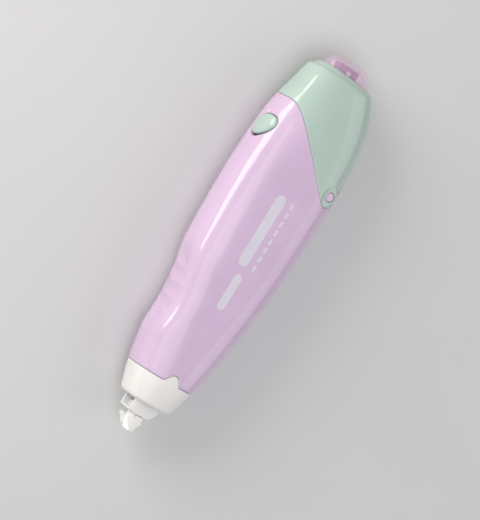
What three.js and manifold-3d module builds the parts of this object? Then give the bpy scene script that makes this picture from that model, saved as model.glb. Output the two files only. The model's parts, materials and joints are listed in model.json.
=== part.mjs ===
// Pen-type correction tape dispenser: refillable, with a rear knock that slides the refill in and out.
// Millimetres. +X runs from the tape head to the knock, +Y towards the finger side, +Z out of the
// upper flank. Z is measured from the mid-plane here; the last group lifts the part onto Z = 0.

import * as THREE from 'three';
import { mergeVertices } from 'three/addons/utils/BufferGeometryUtils.js';
import Module from 'manifold-3d';

const wasm = await Module();
wasm.setup();

// ---------- driving dimensions ----------
const FLANK = 9.5;            // half of the thickness between the two flat flanks
const WALL = 1.5;             // casing wall
const GAP = 0.3;              // clearance between neighbouring pieces
const POWER = 2.8;            // exponent of the superellipse section
const FINGER_EDGE = [[-55.2, 8.6], [-46, 11.4], [-34, 13.7], [-20, 15.5], [-6, 16.6], [10, 17.4],
  [23, 17.5], [38.8, 16.5], [45, 15.4], [50, 14.0], [57.7, 12.0], [60.9, 9.3]];
const BELLY_EDGE = [[-55.2, -7.7], [-46, -10.2], [-34, -12.8], [-20, -15.0], [-6, -16.6], [10, -17.4],
  [23, -17.6], [38.8, -17.1], [45, -16.0], [50, -14.7], [57.7, -11.0], [60.9, -8.9]];
const HALF_THICKNESS = [[-55.2, 6.7], [-46, 8.5], [-32, 9.4], [-16, 9.9], [0, 10], [16, 10], [32, 9.9],
  [44.5, 9.4], [53, 8.3], [58, 7.2], [60.9, 5.6]];
const NOSE_FRONT = -55.2;
const NOSE_SEAM = -46;
const CASING_END = 60.9;
const RECESS = { x: -21.5, halfLength: 13.5, halfWidth: 9.0, depth: 2.0 };
const RIDGES = { first: -28.6, pitch: 4.9, count: 4, height: 0.35, halfWidth: 5.6 };
const PIVOT = { x: 26.5, y: -12.9, boss: 1.5, ear: 3.6, plane: 6.0 };
const CAP_CORNER = { x: 45.4, y: 13.2 };
const MOUTH_X = 31.4;         // where the cap's belly wall starts
const HEAD = { half: 3.3, top: 5.6, bottom: -4.0, front: -59.4, back: -36 };
const TIP = -65;
const SUPPLY = { x: 14, y: -0.5, teeth: 27, flange: 12.9, roll: 12.0, hub: 5.0 };
const TAKEUP = { teeth: 18, flange: 8.8, roll: 6.4, hub: 4.2 };
const IDLER = { teeth: 11 };
const MODULE = 0.8;
const TAPE = 2.5;             // half of the 5 mm tape width
const STROKE = 10;            // travel of the knock and the refill
const KNOCK = { half: 8.2, thick: 4.5, front: 47.2, end: 65, wall: 1.2 };
const CARRIAGE = { front: -28, rear: 36.8, bottom: -6.8, top: -5.4 };
const CAM = { x: -11, y: 6.2 };            // peg of the cam follower, in its track
const FOLLOWER = { x: -2, y: 6.2, low: -7.75, high: -7.05 };
const BLADE = { half: 2.2, wide: 2.9, low: 0.05, high: 1.95 };
const BEYOND = 30;            // further out than any surface, for cutting bodies

// ---------- materials ----------
const finish = (color, roughness, metalness = 0) =>
  new THREE.MeshStandardMaterial({ color, roughness, metalness });
const LILAC = finish(0xd6bcd8, 0.25);
const MINT = finish(0xbcd3c9, 0.3);
const WHITE = finish(0xf0edea, 0.4);
const PINK = finish(0xe6b8d8, 0.15);
const MAGENTA = finish(0x8a3a7e, 0.3);
const NATURAL = finish(0xe4e2dc, 0.45);
const GEAR = finish(0xcfd6d8, 0.4);
const TAPE_WHITE = finish(0xfafafa, 0.7);
const CARRIER = finish(0xd8c9a8, 0.6);
const STEEL = finish(0xb8bcc0, 0.3, 1);
const FELT = finish(0x7a8088, 0.9);

// ---------- solids ----------
function solid(geometry) {
  const bare = geometry.clone();
  bare.deleteAttribute('normal');
  bare.deleteAttribute('uv');
  const merged = mergeVertices(bare, 1e-5);
  return new wasm.Manifold(new wasm.Mesh({
    numProp: 3,
    vertProperties: new Float32Array(merged.attributes.position.array),
    triVerts: new Uint32Array(merged.index.array),
  }));
}

function geometryOf(manifold) {
  const mesh = manifold.getMesh();
  const geometry = new THREE.BufferGeometry();
  geometry.setAttribute('position', new THREE.BufferAttribute(new Float32Array(mesh.vertProperties), 3));
  geometry.setIndex(new THREE.BufferAttribute(new Uint32Array(mesh.triVerts), 1));
  geometry.computeVertexNormals();
  return geometry;
}

const casing = new THREE.Group();

function piece(name, body, material) {
  const mesh = new THREE.Mesh(geometryOf(body), material);
  mesh.name = name;
  casing.add(mesh);
}

function box(x0, x1, y0, y1, z0, z1) {
  const geometry = new THREE.BoxGeometry(x1 - x0, y1 - y0, z1 - z0);
  geometry.translate((x0 + x1) / 2, (y0 + y1) / 2, (z0 + z1) / 2);
  return solid(geometry);
}

function post(x, y, radius, z0, z1, segments = 24) {
  const geometry = new THREE.CylinderGeometry(radius, radius, z1 - z0, segments);
  geometry.rotateX(Math.PI / 2);
  geometry.translate(x, y, (z0 + z1) / 2);
  return solid(geometry);
}

function ringPost(x, y, inner, outer, z0, z1, segments = 36) {
  return post(x, y, outer, z0, z1, segments).subtract(post(x, y, inner, z0 - 1, z1 + 1, segments));
}

function slab(points, z0, z1) {
  const shape = new THREE.Shape(points.map(([x, y]) => new THREE.Vector2(x, y)));
  const geometry = new THREE.ExtrudeGeometry(shape, { depth: z1 - z0, bevelEnabled: false });
  geometry.translate(0, 0, z0);
  return solid(geometry);
}

function arc(cx, cy, radius, fromDeg, toDeg, steps) {
  return Array.from({ length: steps + 1 }, (_, i) => {
    const angle = THREE.MathUtils.degToRad(fromDeg + ((toDeg - fromDeg) * i) / steps);
    return [cx + radius * Math.cos(angle), cy + radius * Math.sin(angle)];
  });
}

const mirrorZ = (body) => body.mirror([0, 0, 1]);
const union = (bodies) => bodies.reduce((whole, next) => whole.add(next));

// ---------- the body's surface ----------
function spline(points) {
  const n = points.length;
  const slope = points.map((p, i) => {
    const a = points[Math.max(i - 1, 0)];
    const b = points[Math.min(i + 1, n - 1)];
    return (b[1] - a[1]) / (b[0] - a[0]);
  });
  return (x) => {
    let i = points.findIndex((p) => p[0] > x) - 1;
    if (i < 0) i = x < points[0][0] ? 0 : n - 2;
    const h = points[i + 1][0] - points[i][0];
    const t = THREE.MathUtils.clamp((x - points[i][0]) / h, 0, 1);
    const s = 1 - t;
    return points[i][1] * s * s * (1 + 2 * t) + slope[i] * h * t * s * s
      + points[i + 1][1] * t * t * (3 - 2 * t) - slope[i + 1] * h * t * t * s;
  };
}

const fingerEdge = spline(FINGER_EDGE);
const bellyEdge = spline(BELLY_EDGE);
const halfThickness = spline(HALF_THICKNESS);

function gripDip(x, z) {
  const reach = 1 - ((x - RECESS.x) / RECESS.halfLength) ** 2 - (z / RECESS.halfWidth) ** 2;
  if (reach <= 0) return 0;
  const along = (x - RIDGES.first) / RIDGES.pitch;
  const onRidges = along > -0.5 && along < RIDGES.count - 0.5 && Math.abs(z) < RIDGES.halfWidth;
  const ridge = onRidges ? RIDGES.height * (0.5 + 0.5 * Math.cos(2 * Math.PI * along)) : 0;
  const bowl = reach * reach * (3 - 2 * reach);
  return bowl * (RECESS.depth - ridge);
}

function sectionRing(x, inset, count) {
  const top = fingerEdge(x);
  const bottom = bellyEdge(x);
  const a = (top - bottom) / 2 - inset;
  const b = halfThickness(x) - inset;
  const flat = FLANK - inset;
  return Array.from({ length: count }, (_, i) => {
    const angle = (2 * Math.PI * i) / count;
    const c = Math.cos(angle);
    const s = Math.sin(angle);
    const y = (top + bottom) / 2 + a * Math.sign(c) * Math.abs(c) ** (2 / POWER);
    const z = THREE.MathUtils.clamp(b * Math.sign(s) * Math.abs(s) ** (2 / POWER), -flat, flat);
    return [x, c > 0 ? y - gripDip(x, z) : y, z];
  });
}

function loft(rings) {
  const count = rings[0].length;
  const positions = rings.flat(2);
  const index = [];
  for (let r = 0; r + 1 < rings.length; r += 1) {
    for (let i = 0; i < count; i += 1) {
      const a = r * count + i;
      const b = r * count + ((i + 1) % count);
      index.push(a, a + count, b, b, a + count, b + count);
    }
  }
  for (const [start, flip] of [[0, false], [(rings.length - 1) * count, true]]) {
    for (let i = 1; i + 1 < count; i += 1) {
      index.push(start, ...(flip ? [start + i + 1, start + i] : [start + i, start + i + 1]));
    }
  }
  const geometry = new THREE.BufferGeometry();
  geometry.setAttribute('position', new THREE.BufferAttribute(new Float32Array(positions), 3));
  geometry.setIndex(index);
  const body = solid(geometry);
  return body.volume() > 0 ? body : solid(turnOut(geometry));
}

function turnOut(geometry) {
  const index = geometry.index.array;
  for (let i = 0; i < index.length; i += 3) {
    [index[i + 1], index[i + 2]] = [index[i + 2], index[i + 1]];
  }
  return geometry;
}

const range = (from, to, step) =>
  Array.from({ length: Math.floor((to - from) / step + 1e-6) + 1 }, (_, i) => from + i * step);
const skin = (stations, inset, count) => loft(stations.map((x) => sectionRing(x, inset, count)));

// ---------- where the rear cap parts from the casing ----------
function capFlank(grow) {
  const radius = PIVOT.ear + grow;
  return [
    ...arc(PIVOT.x, PIVOT.y, radius, 132, 270, 14),
    [MOUTH_X - grow, PIVOT.y - radius],
    [MOUTH_X - grow, -24],
    [70, -24],
    [70, 24],
    [CAP_CORNER.x - 0.4 - grow, 24],
    [CAP_CORNER.x - grow, 15.2],
    [CAP_CORNER.x + 0.2 - grow, CAP_CORNER.y],
    [CAP_CORNER.x - 1.6 - grow, 10.9 + 0.4 * grow],
  ];
}

function capMiddle(radius, start) {
  const corner = CAP_CORNER.x - (MOUTH_X - start);
  return [
    ...arc(PIVOT.x, PIVOT.y, radius, 30, -38, 6),
    [start, -24],
    [70, -24],
    [70, 24],
    [corner - 0.4, 24],
    [corner, 15.2],
    [corner, CAP_CORNER.y],
    [34, -2],
  ];
}

const capFlankZone = (grow, plane) => slab(capFlank(grow), plane, BEYOND);
const capMiddleZone = (radius, start, plane) => slab(capMiddle(radius, start), -plane, plane);

// ---------- casing shells ----------
const GRIP_STATIONS = range(-33.5, -11.45, 2.45);
const CASING_STATIONS = [NOSE_SEAM + 0.15, -42, -38, ...GRIP_STATIONS, -8, 0, 12, 23, 31, 38.8, 43, 47];
const casingOuter = skin(CASING_STATIONS, 0, 40);
const casingInner = skin([NOSE_SEAM - 1, -36, -28, -22, -16, -6, 12, 23, 31, 38.8, 43, 48], WALL, 28);
const casingWall = casingOuter.subtract(casingInner);

const TONGUE = [[NOSE_SEAM - 2, 3.4], [-45.9, 3.4], [-44.1, 1.9], [-43.4, 0.9], [-43.4, -0.3],
  [-44.1, -1.3], [-45.9, -2.8], [NOSE_SEAM - 2, -2.8]];
const grown = (points, grow) => points.map(([x, y]) => [x + (x > NOSE_SEAM - 1 ? grow : 0),
  y + grow * Math.sign(y - 0.3)]);

const BUTTON_OUTLINE = [[30.4, 0.9], [31.2, 3.0], [32.9, 4.8], [35.0, 5.7], [36.9, 5.7], [38.0, 4.8],
  [38.2, 3.0], [37.7, 0.6], [36.5, -1.6], [34.6, -2.7], [32.2, -2.2], [30.8, -0.8]];

function buttonPrism(grow, y0, y1) {
  const middle = new THREE.Vector2(34.6, 1.6);
  const outline = BUTTON_OUTLINE.map(([x, z]) => {
    const spoke = new THREE.Vector2(x, z).sub(middle);
    return spoke.setLength(spoke.length() + grow).add(middle);
  });
  const shape = new THREE.Shape(outline);
  const geometry = new THREE.ExtrudeGeometry(shape, { depth: y1 - y0, bevelEnabled: false });
  geometry.rotateX(Math.PI / 2);
  geometry.translate(0, y1, 0);
  return solid(geometry);
}

function cheek() {
  const plate = slab([[18.5, -16.6], ...arc(PIVOT.x, PIVOT.y, 6.0, -50, 130, 12), [18.5, -8.5]],
    PIVOT.plane - 1.6, PIVOT.plane - GAP);
  const boss = post(PIVOT.x, PIVOT.y, PIVOT.boss, PIVOT.plane - 1, FLANK + 1);
  const plateInside = plate.intersect(skin([15, 23, 31, 34], 0.8, 40));
  return plateInside.add(boss.intersect(skin([20, 23, 31, 33], 0.05, 40)));
}

function casingShell() {
  const half = casingWall
    .subtract(capFlankZone(GAP, PIVOT.plane - GAP))
    .subtract(capMiddleZone(6.1, MOUTH_X - GAP, PIVOT.plane - GAP))
    .subtract(slab([[PIVOT.x - 3.9, -24], [34, -24], [34, PIVOT.y], [PIVOT.x - 3.9, PIVOT.y]],
      PIVOT.plane - GAP, BEYOND))
    .subtract(slab(grown(TONGUE, GAP), 0.5, BEYOND));
  return half.intersect(box(-60, 60, -24, 24, 0.1, BEYOND));
}

const windowCut = buttonPrism(GAP, 10.5, 20);
const bridgeRelief = skin([37, 43, 48], 0.75, 40).intersect(box(37.6, 47, 9, 24, -3.6, 6.6));
const springSeat = box(-41.6, -40.7, -2, 2, 3.9, 7.9);
const upperShell = union([casingShell(), cheek(), springSeat]).subtract(windowCut)
  .subtract(bridgeRelief);
piece('upper_shell', upperShell, LILAC);

const followerPost = post(FOLLOWER.x, FOLLOWER.y, 0.8, -8.3, -6.95, 16);
const lowerShell = mirrorZ(union([casingShell(), cheek()])).subtract(windowCut)
  .subtract(bridgeRelief).add(followerPost);
piece('lower_shell', lowerShell, LILAC);

// ---------- nose cap ----------
const NOSE_STATIONS = [NOSE_FRONT, -54.6, -53.5, -51, -48.5, NOSE_SEAM];
const noseInset = (x) => (x < -54.9 ? 0.8 : x < -54 ? 0.25 : 0);
const noseOuter = loft(NOSE_STATIONS.map((x) => sectionRing(x, noseInset(x), 40)));
const noseInner = skin([-53.4, -50, -45], WALL, 28);
const spigot = skin([-47.5, -45, -42.3], WALL + GAP, 32).subtract(skin([-48, -45, -42], WALL + 1.3, 28));
const tongueLayer = skin([-48, -45, -42.5], 0, 40).subtract(skin([-49, -45, -42], WALL + 0.6, 28));
const tongueBlock = tongueLayer.intersect(slab(TONGUE, 4, BEYOND));
const headWindow = box(-60, -50, HEAD.bottom - 0.6, HEAD.top + 0.6, -HEAD.half - 0.6, HEAD.half + 0.6);
piece('nose_cap', union([noseOuter.subtract(noseInner), spigot, tongueBlock, mirrorZ(tongueBlock)])
  .subtract(headWindow), WHITE);

// ---------- rear cap ----------
const CAP_STATIONS = [21, 25, 29, 33, 38.8, 45, 50, 54, 57.7, 59.4, 60.4, CASING_END];
const capOuter = skin(CAP_STATIONS, 0, 40);
const capWall = capOuter.subtract(skin([20, 31, 38.8, 45, 50, 55, 58.7], WALL, 28));
function knockRing(x, inset) {
  const y = KNOCK.half - inset;
  const z = KNOCK.thick - inset * (inset > 0 ? 0.6 : 1);
  return Array.from({ length: 32 }, (_, i) => {
    const angle = (2 * Math.PI * i) / 32;
    const c = Math.cos(angle);
    const s = Math.sin(angle);
    return [x, y * Math.sign(c) * Math.abs(c) ** 0.75, z * Math.sign(s) * Math.abs(s) ** 0.75];
  });
}
const knockPlug = (rings) => loft(rings.map(([x, inset]) => knockRing(x, inset)));
const earChunk = capOuter.intersect(post(PIVOT.x, PIVOT.y, 5.2, PIVOT.plane, BEYOND, 32));
const capSide = capWall.add(earChunk).intersect(capFlankZone(0, PIVOT.plane))
  .subtract(post(PIVOT.x, PIVOT.y, PIVOT.boss + 0.25, 0, BEYOND));
const capBand = capWall.intersect(capMiddleZone(6.55, MOUTH_X, PIVOT.plane));
piece('rear_cap', union([capSide, mirrorZ(capSide), capBand])
  .subtract(knockPlug([[55, -0.25], [62, -0.25]])), MINT);

// ---------- cap latch ----------
const buttonTop = loft([28, 31, 34, 37, 40].map((x) => sectionRing(x, -0.4, 40)));
const button = buttonPrism(0, 12.4, 20).intersect(buttonTop);
const latchTongue = box(31.5, 48.0, 10.9, 12.0, -2.0, 3.6);
const latchHook = box(33, 36.5, 12.0, 12.9, -1.0, 4.0);
piece('latch_button', union([button, latchTongue, latchHook]), MINT);

// ---------- knock ----------
const knockOuter = knockPlug([[KNOCK.front, 0], [KNOCK.end - 3.3, 0], [KNOCK.end - 1.6, 0.9],
  [KNOCK.end - 0.5, 2.3], [KNOCK.end, 4.0]]);
const knockFlange = knockPlug([[KNOCK.front, -0.6], [KNOCK.front + KNOCK.wall, -0.6]]);
const knockHollow = knockPlug([[KNOCK.front - 1, KNOCK.wall], [KNOCK.end - 3.3, KNOCK.wall],
  [KNOCK.end - 1.6, KNOCK.wall + 1.3]]);
piece('knock_button', knockOuter.add(knockFlange).subtract(knockHollow), PINK);

const PLUNGER_END = KNOCK.end - 2.1;
const plungerFrame = box(CARRIAGE.rear + 0.4, PLUNGER_END, -5.6, 0.6, -1.6, 1.6)
  .subtract(box(54, PLUNGER_END - 1.5, -4.1, -0.9, -4, 4));
const plungerBlock = box(52, PLUNGER_END, 1.8, 4.2, -2.0, 2.0);
const plungerBridge = box(50, 53, -5.6, 4.2, -1.6, 1.6);
piece('knock_plunger', union([plungerFrame, plungerBlock, plungerBridge]), MAGENTA);

// ---------- carriage that carries the refill ----------
const rearArc = (reach, from) => arc(PIVOT.x - STROKE, PIVOT.y, reach, from, 62, 6);
const plate = [[CARRIAGE.front, -8], [8, -8], [12, -6], [30, -5.2], [CARRIAGE.rear, -4.8],
  ...rearArc(24.3, 30), [10, 10.5], [CARRIAGE.front, 8]];
const camTrack = slab([[CAM.x + 2.4, CAM.y - 1.2], [CAM.x + 2.4, CAM.y + 1.2],
  [CAM.x - 11.2, CAM.y + 0.5], [CAM.x - 12.4, CAM.y - 0.6], [CAM.x - 11.2, CAM.y - 2.2]],
CARRIAGE.bottom - 1, CARRIAGE.bottom + 0.9);
const frontWall = box(CARRIAGE.front, CARRIAGE.front + 1.4, -8, 8, CARRIAGE.top - 0.2, 7.1)
  .subtract(box(CARRIAGE.front - 1, CARRIAGE.front + 2, -7, 7.2, CARRIAGE.top, 3.9))
  .intersect(skin([-32, -28, -24, -12], WALL + 0.5, 28));
const rearWall = box(CARRIAGE.rear - 1.4, CARRIAGE.rear, -4.4, 0.4, CARRIAGE.top - 0.2, 3);
piece('slide_carriage', union([slab(plate, CARRIAGE.bottom, CARRIAGE.top), frontWall, rearWall])
  .subtract(camTrack), WHITE);

const followerTip = post(CAM.x, CAM.y, 0.45, -7.1, -6.1, 12);
const followerArm = box(CAM.x, FOLLOWER.x, CAM.y - 0.4, CAM.y + 0.4, FOLLOWER.low, FOLLOWER.high)
  .add(post(FOLLOWER.x, FOLLOWER.y, 1.7, FOLLOWER.low, FOLLOWER.high, 20))
  .add(post(CAM.x, CAM.y, 0.8, FOLLOWER.low, FOLLOWER.high, 12))
  .subtract(post(FOLLOWER.x, FOLLOWER.y, 1.0, -9, -6, 16));
piece('cam_follower', followerArm.add(followerTip), STEEL);

function coil(x0, x1, y, z, radius, wire, turns) {
  const path = new (class extends THREE.Curve {
    getPoint(t) {
      const angle = 2 * Math.PI * turns * t;
      const across = [y + radius * Math.cos(angle), z + radius * Math.sin(angle)];
      return new THREE.Vector3(x0 + (x1 - x0) * t, ...across);
    }
  })();
  const section = new THREE.Shape(arc(0, 0, wire, 0, 300, 5).map(([u, v]) => new THREE.Vector2(u, v)));
  const options = { extrudePath: path, steps: turns * 10, bevelEnabled: false };
  return solid(new THREE.ExtrudeGeometry(section, options));
}
piece('return_spring', coil(-40.1, -28.6, 0, 5.5, 1.05, 0.22, 6), STEEL);

// ---------- refill ----------
const refillOutline = [[-40, -3], [-40, 4], [-27, 6.5], [-22, 8.5], [10, 12.3], [22, 9.4],
  ...rearArc(22.6, 36).reverse().slice(1), [30, -3], [12, -7.4], [-8, -8.5], [-24, -7.5], [-27, -6]];
const TAKEUP_X = SUPPLY.x - MODULE * (SUPPLY.teeth / 2 + TAKEUP.teeth / 2 + IDLER.teeth);
const IDLER_X = SUPPLY.x - MODULE * (SUPPLY.teeth + IDLER.teeth) / 2;
const AXLES = [[SUPPLY.x, 2.2], [TAKEUP_X, 2.0], [IDLER_X, 1.2]];
const GUIDES = [[-31, 2.95], [-31, -1.97]];

const baseParts = [slab(refillOutline, -5.1, -4.3)];
for (const [x, radius] of AXLES) {
  const top = x === IDLER_X ? -2.9 : 3.1;
  baseParts.push(post(x, SUPPLY.y, radius, -4.5, top, 20));
}
for (const [x, y] of GUIDES) baseParts.push(post(x, y, 1.2, -4.5, 3.0, 16));
piece('refill_base', union(baseParts), NATURAL);

const coverOutline = refillOutline.filter(([x]) => x > -26.5);
piece('refill_cover', slab(coverOutline, 3.35, 4.15)
  .subtract(post(SUPPLY.x, SUPPLY.y, 3.4, 3, 5)), NATURAL);

function toothedWheel(x, y, teeth, phase, bore, z0, z1) {
  const pitchRadius = (MODULE * teeth) / 2;
  const points = [];
  const spots = [[-0.27, -1.15], [-0.1, 0.75], [0.1, 0.75], [0.27, -1.15]];
  for (let i = 0; i < teeth; i += 1) {
    for (const [offset, height] of spots) {
      const angle = phase + (2 * Math.PI * (i + offset)) / teeth;
      const radius = pitchRadius + height * MODULE;
      points.push([x + radius * Math.cos(angle), y + radius * Math.sin(angle)]);
    }
  }
  return slab(points, z0, z1).subtract(post(x, y, bore, z0 - 1, z1 + 1, 20));
}

const GEAR_Z = [-4.05, -3.25];
const supplyPhase = Math.PI;
const idlerPhase = Math.PI / IDLER.teeth;
const takeupPhase = Math.PI / TAKEUP.teeth;
piece('supply_gear', toothedWheel(SUPPLY.x, SUPPLY.y, SUPPLY.teeth, supplyPhase, 2.45, ...GEAR_Z), GEAR);
piece('idler_gear', toothedWheel(IDLER_X, SUPPLY.y, IDLER.teeth, idlerPhase, 1.4, ...GEAR_Z), GEAR);
piece('takeup_gear', toothedWheel(TAKEUP_X, SUPPLY.y, TAKEUP.teeth, takeupPhase, 2.25, ...GEAR_Z), GEAR);

piece('slip_clutch', ringPost(SUPPLY.x, SUPPLY.y, 2.5, 4.6, -3.2, -3.0), FELT);

function reel(spec, x, bore) {
  return ringPost(x, SUPPLY.y, bore, spec.hub, -2.95, 2.9, 32)
    .add(ringPost(x, SUPPLY.y, bore, spec.flange, -2.95, -2.7, 40));
}
piece('supply_reel', reel(SUPPLY, SUPPLY.x, 2.45), NATURAL);
piece('takeup_reel', reel(TAKEUP, TAKEUP_X, 2.25), NATURAL);

const roll = (spec, x, segments) =>
  ringPost(x, SUPPLY.y, spec.hub + 0.05, spec.roll, -TAPE, TAPE, segments);
piece('tape_roll', roll(SUPPLY, SUPPLY.x, 48), TAPE_WHITE);
piece('used_tape', roll(TAKEUP, TAKEUP_X, 36), CARRIER);

// ---------- head ----------
const holderOutline = [[HEAD.back, HEAD.bottom], [-55.2, HEAD.bottom], [-57.6, -3.1], [-59.0, -1.9],
  [HEAD.front, -0.9], [HEAD.front, HEAD.top], [HEAD.back, HEAD.top]];
const holder = slab(holderOutline, -HEAD.half, HEAD.half)
  .subtract(box(-56.5, -35, HEAD.bottom + 0.8, HEAD.top - 0.8, -2.75, 2.75))
  .subtract(box(-60, -56, -0.75, 2.75, -2.5, 2.5))
  .subtract(box(-58.4, -52, 3.4, 7, -2.75, 2.75))
  .add(box(-40, -36, 1, 3.6, -4.1, -2.9));
piece('head_holder', holder, WHITE);

const bladeOutline = [[TIP + 0.25, 1.0], [-61.0, 2.3], [-60.4, BLADE.high], [-50, BLADE.high],
  [-50, BLADE.low], [-60.4, BLADE.low], [-61.0, -0.1]];
const wedgeOutline = [[TIP + 0.25, 1.0], [-61.0, 2.3], [-61.0, -0.1]];
const finOutline = [[TIP + 0.35, 1.0], [-63.9, 2.6], [-63.2, 3.3], [-61.4, 4.7], [-60.9, 4.6], [-60.6, 1.6],
  [-61.2, -0.5], [-62.4, 0.1], [-63.8, 0.7]];
const blade = slab(bladeOutline, -BLADE.half, BLADE.half)
  .add(slab(wedgeOutline, -BLADE.wide, BLADE.wide));
const fin = slab(finOutline, BLADE.wide, BLADE.wide + 0.5);
piece('applicator_blade', union([blade, fin, mirrorZ(fin)]), WHITE);

const FEED_ROUTE = [[TIP, 1.45], [-61.0, 2.55], [-55, 2.35], [-31, 4.4], [11.4, 12.0]];
const RETURN_ROUTE = [[TIP, 0.55], [-61.0, -0.5], [-55, -0.5], [-31, -3.6], [TAKEUP_X - 1, -7.4]];
const FILM = 0.18;

function ribbon(points) {
  const offset = points.map(([x, y]) => [x, y + FILM]);
  return slab([...points, ...offset.reverse()], -TAPE + 0.1, TAPE - 0.1);
}
piece('feed_tape', ribbon(FEED_ROUTE), TAPE_WHITE);
piece('return_tape', ribbon(RETURN_ROUTE), CARRIER);

// ---------- the whole part, standing on its lower flank ----------
const part = new THREE.Group();
casing.position.z = FLANK;
part.add(casing);
export default part;
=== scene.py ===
"""Pen-type correction tape dispenser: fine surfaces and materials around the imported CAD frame."""

import json
import math

import bmesh
import bpy
from mathutils import Matrix, Vector


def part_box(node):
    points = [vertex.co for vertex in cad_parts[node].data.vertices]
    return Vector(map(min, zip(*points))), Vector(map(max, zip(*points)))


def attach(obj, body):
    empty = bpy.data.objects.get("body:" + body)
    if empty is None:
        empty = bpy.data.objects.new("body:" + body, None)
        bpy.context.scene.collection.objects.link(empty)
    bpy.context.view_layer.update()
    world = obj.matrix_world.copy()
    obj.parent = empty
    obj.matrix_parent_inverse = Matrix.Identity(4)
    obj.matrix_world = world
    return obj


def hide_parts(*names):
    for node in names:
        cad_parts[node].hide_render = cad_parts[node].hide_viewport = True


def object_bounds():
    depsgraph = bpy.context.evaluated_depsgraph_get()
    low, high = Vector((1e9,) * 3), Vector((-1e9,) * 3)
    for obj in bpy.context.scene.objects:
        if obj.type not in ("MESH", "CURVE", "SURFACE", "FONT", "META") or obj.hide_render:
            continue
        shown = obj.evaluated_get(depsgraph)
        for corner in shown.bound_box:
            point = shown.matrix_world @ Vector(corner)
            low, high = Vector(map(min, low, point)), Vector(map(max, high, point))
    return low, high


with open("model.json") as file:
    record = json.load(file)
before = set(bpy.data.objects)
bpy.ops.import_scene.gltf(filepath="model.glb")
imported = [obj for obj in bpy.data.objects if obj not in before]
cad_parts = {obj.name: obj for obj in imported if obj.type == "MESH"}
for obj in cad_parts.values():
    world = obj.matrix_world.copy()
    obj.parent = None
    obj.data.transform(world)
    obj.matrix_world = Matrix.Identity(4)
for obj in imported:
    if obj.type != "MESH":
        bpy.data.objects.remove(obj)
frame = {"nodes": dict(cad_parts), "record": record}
cad_low, cad_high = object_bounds()

MM = 0.001
MID = (cad_low.z + cad_high.z) / 2 / MM      # height of the mid-plane over the table, mm

# ---------- the body's shape, mm, z measured from the mid-plane ----------
FLANK = MID
WALL = 1.5
POWER = 2.8
FINGER_EDGE = [(-55.2, 8.6), (-46, 11.4), (-34, 13.7), (-20, 15.5), (-6, 16.6), (10, 17.4),
               (23, 17.5), (38.8, 16.5), (45, 15.4), (50, 14.0), (57.7, 12.0), (60.9, 10.3)]
BELLY_EDGE = [(-55.2, -7.7), (-46, -10.2), (-34, -12.8), (-20, -15.0), (-6, -16.6), (10, -17.4),
              (23, -17.6), (38.8, -17.1), (45, -16.0), (50, -14.7), (57.7, -11.1), (60.9, -9.8)]
HALF_THICKNESS = [(-55.2, 6.7), (-46, 8.5), (-32, 9.4), (-16, 9.9), (0, 10), (16, 10), (32, 9.9),
                  (44.5, 9.4), (53, 8.3), (58, 7.2), (60.9, 6.3)]
CAP_LINE = [(-12.9, 22.9), (-10.2, 24.1), (-2.2, 31.4), (6.3, 39.1), (9.4, 41.85), (11.2, 43.45),
            (12.8, 44.65), (14.2, 45.25), (15.2, 45.3), (16.2, 45.1), (19, 44.9)]
TONGUE_LINE = [(-4, 0), (-2.9, 0.03), (-2.4, 0.35), (-1.1, 1.95), (-0.35, 2.55), (0.5, 2.65),
               (1.2, 2.5), (1.8, 1.95), (3.0, 0.4), (3.6, 0.03), (5, 0)]
RECESS = {"x": -20.8, "half_length": 15.8, "half_width": 12.0, "depth": 1.85, "fade": 6.0}
HOLLOW = {"half_length": 11.5, "half_width": 5.2, "depth": 0.35, "rim": 2.5}
RIDGES = {"first": -28.6, "pitch": 4.9, "count": 4, "height": 0.35}
PIVOT_X, PIVOT_Y = 26.5, -12.9
BOSS_RADIUS = 1.5
EAR_RADIUS = 3.6
EAR_PLANE = 6.0
MOUTH_X = 31.4
LAND_IN, LAND_OUT = 1.9, 3.7
LAND_HEIGHT, LAND_SLOPE = 8.2, 0.14
NOSE_SEAM = -46.0
NOSE_FRONT = -55.2
SKIN_END = 58.9
REAR_ROUND_FROM, REAR_ROUND = 57.7, 0.8
NOSE_ROUND_FROM, NOSE_ROUND = -54.1, 1.1
SEAM_GAP = 0.05
PART_LINE = 0.0003            # angle either side of the mid-plane that the part line takes


def spline(points):
    """Piecewise cubic through (x, value) points, with the same slopes as the CAD's."""
    last = len(points) - 1
    slopes = []
    for i in range(last + 1):
        a, b = points[max(i - 1, 0)], points[min(i + 1, last)]
        slopes.append((b[1] - a[1]) / (b[0] - a[0]))

    def value(x):
        i = 0
        while i < last - 1 and points[i + 1][0] < x:
            i += 1
        h = points[i + 1][0] - points[i][0]
        t = min(max((x - points[i][0]) / h, 0.0), 1.0)
        s = 1 - t
        return (points[i][1] * s * s * (1 + 2 * t) + slopes[i] * h * t * s * s
                + points[i + 1][1] * t * t * (3 - 2 * t) - slopes[i + 1] * h * t * t * s)
    return value


finger_edge = spline(FINGER_EDGE)
belly_edge = spline(BELLY_EDGE)
half_thickness = spline(HALF_THICKNESS)
cap_line = spline(CAP_LINE)
tongue_line = spline(TONGUE_LINE)


def signed_power(value, power):
    return math.copysign(abs(value) ** power, value)


def soft_limit(z, limit, softness=0.22):
    """z held under the flat flank, with a soft edge instead of a crease."""
    return math.copysign(limit - softness * math.log1p(math.exp((limit - abs(z)) / softness)), z) \
        if abs(z) > limit - 6 * softness else z


def ease(t):
    """Smooth step from 0 to 1 as t goes from 0 to 1."""
    t = min(max(t, 0.0), 1.0)
    return t * t * (3 - 2 * t)


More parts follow.
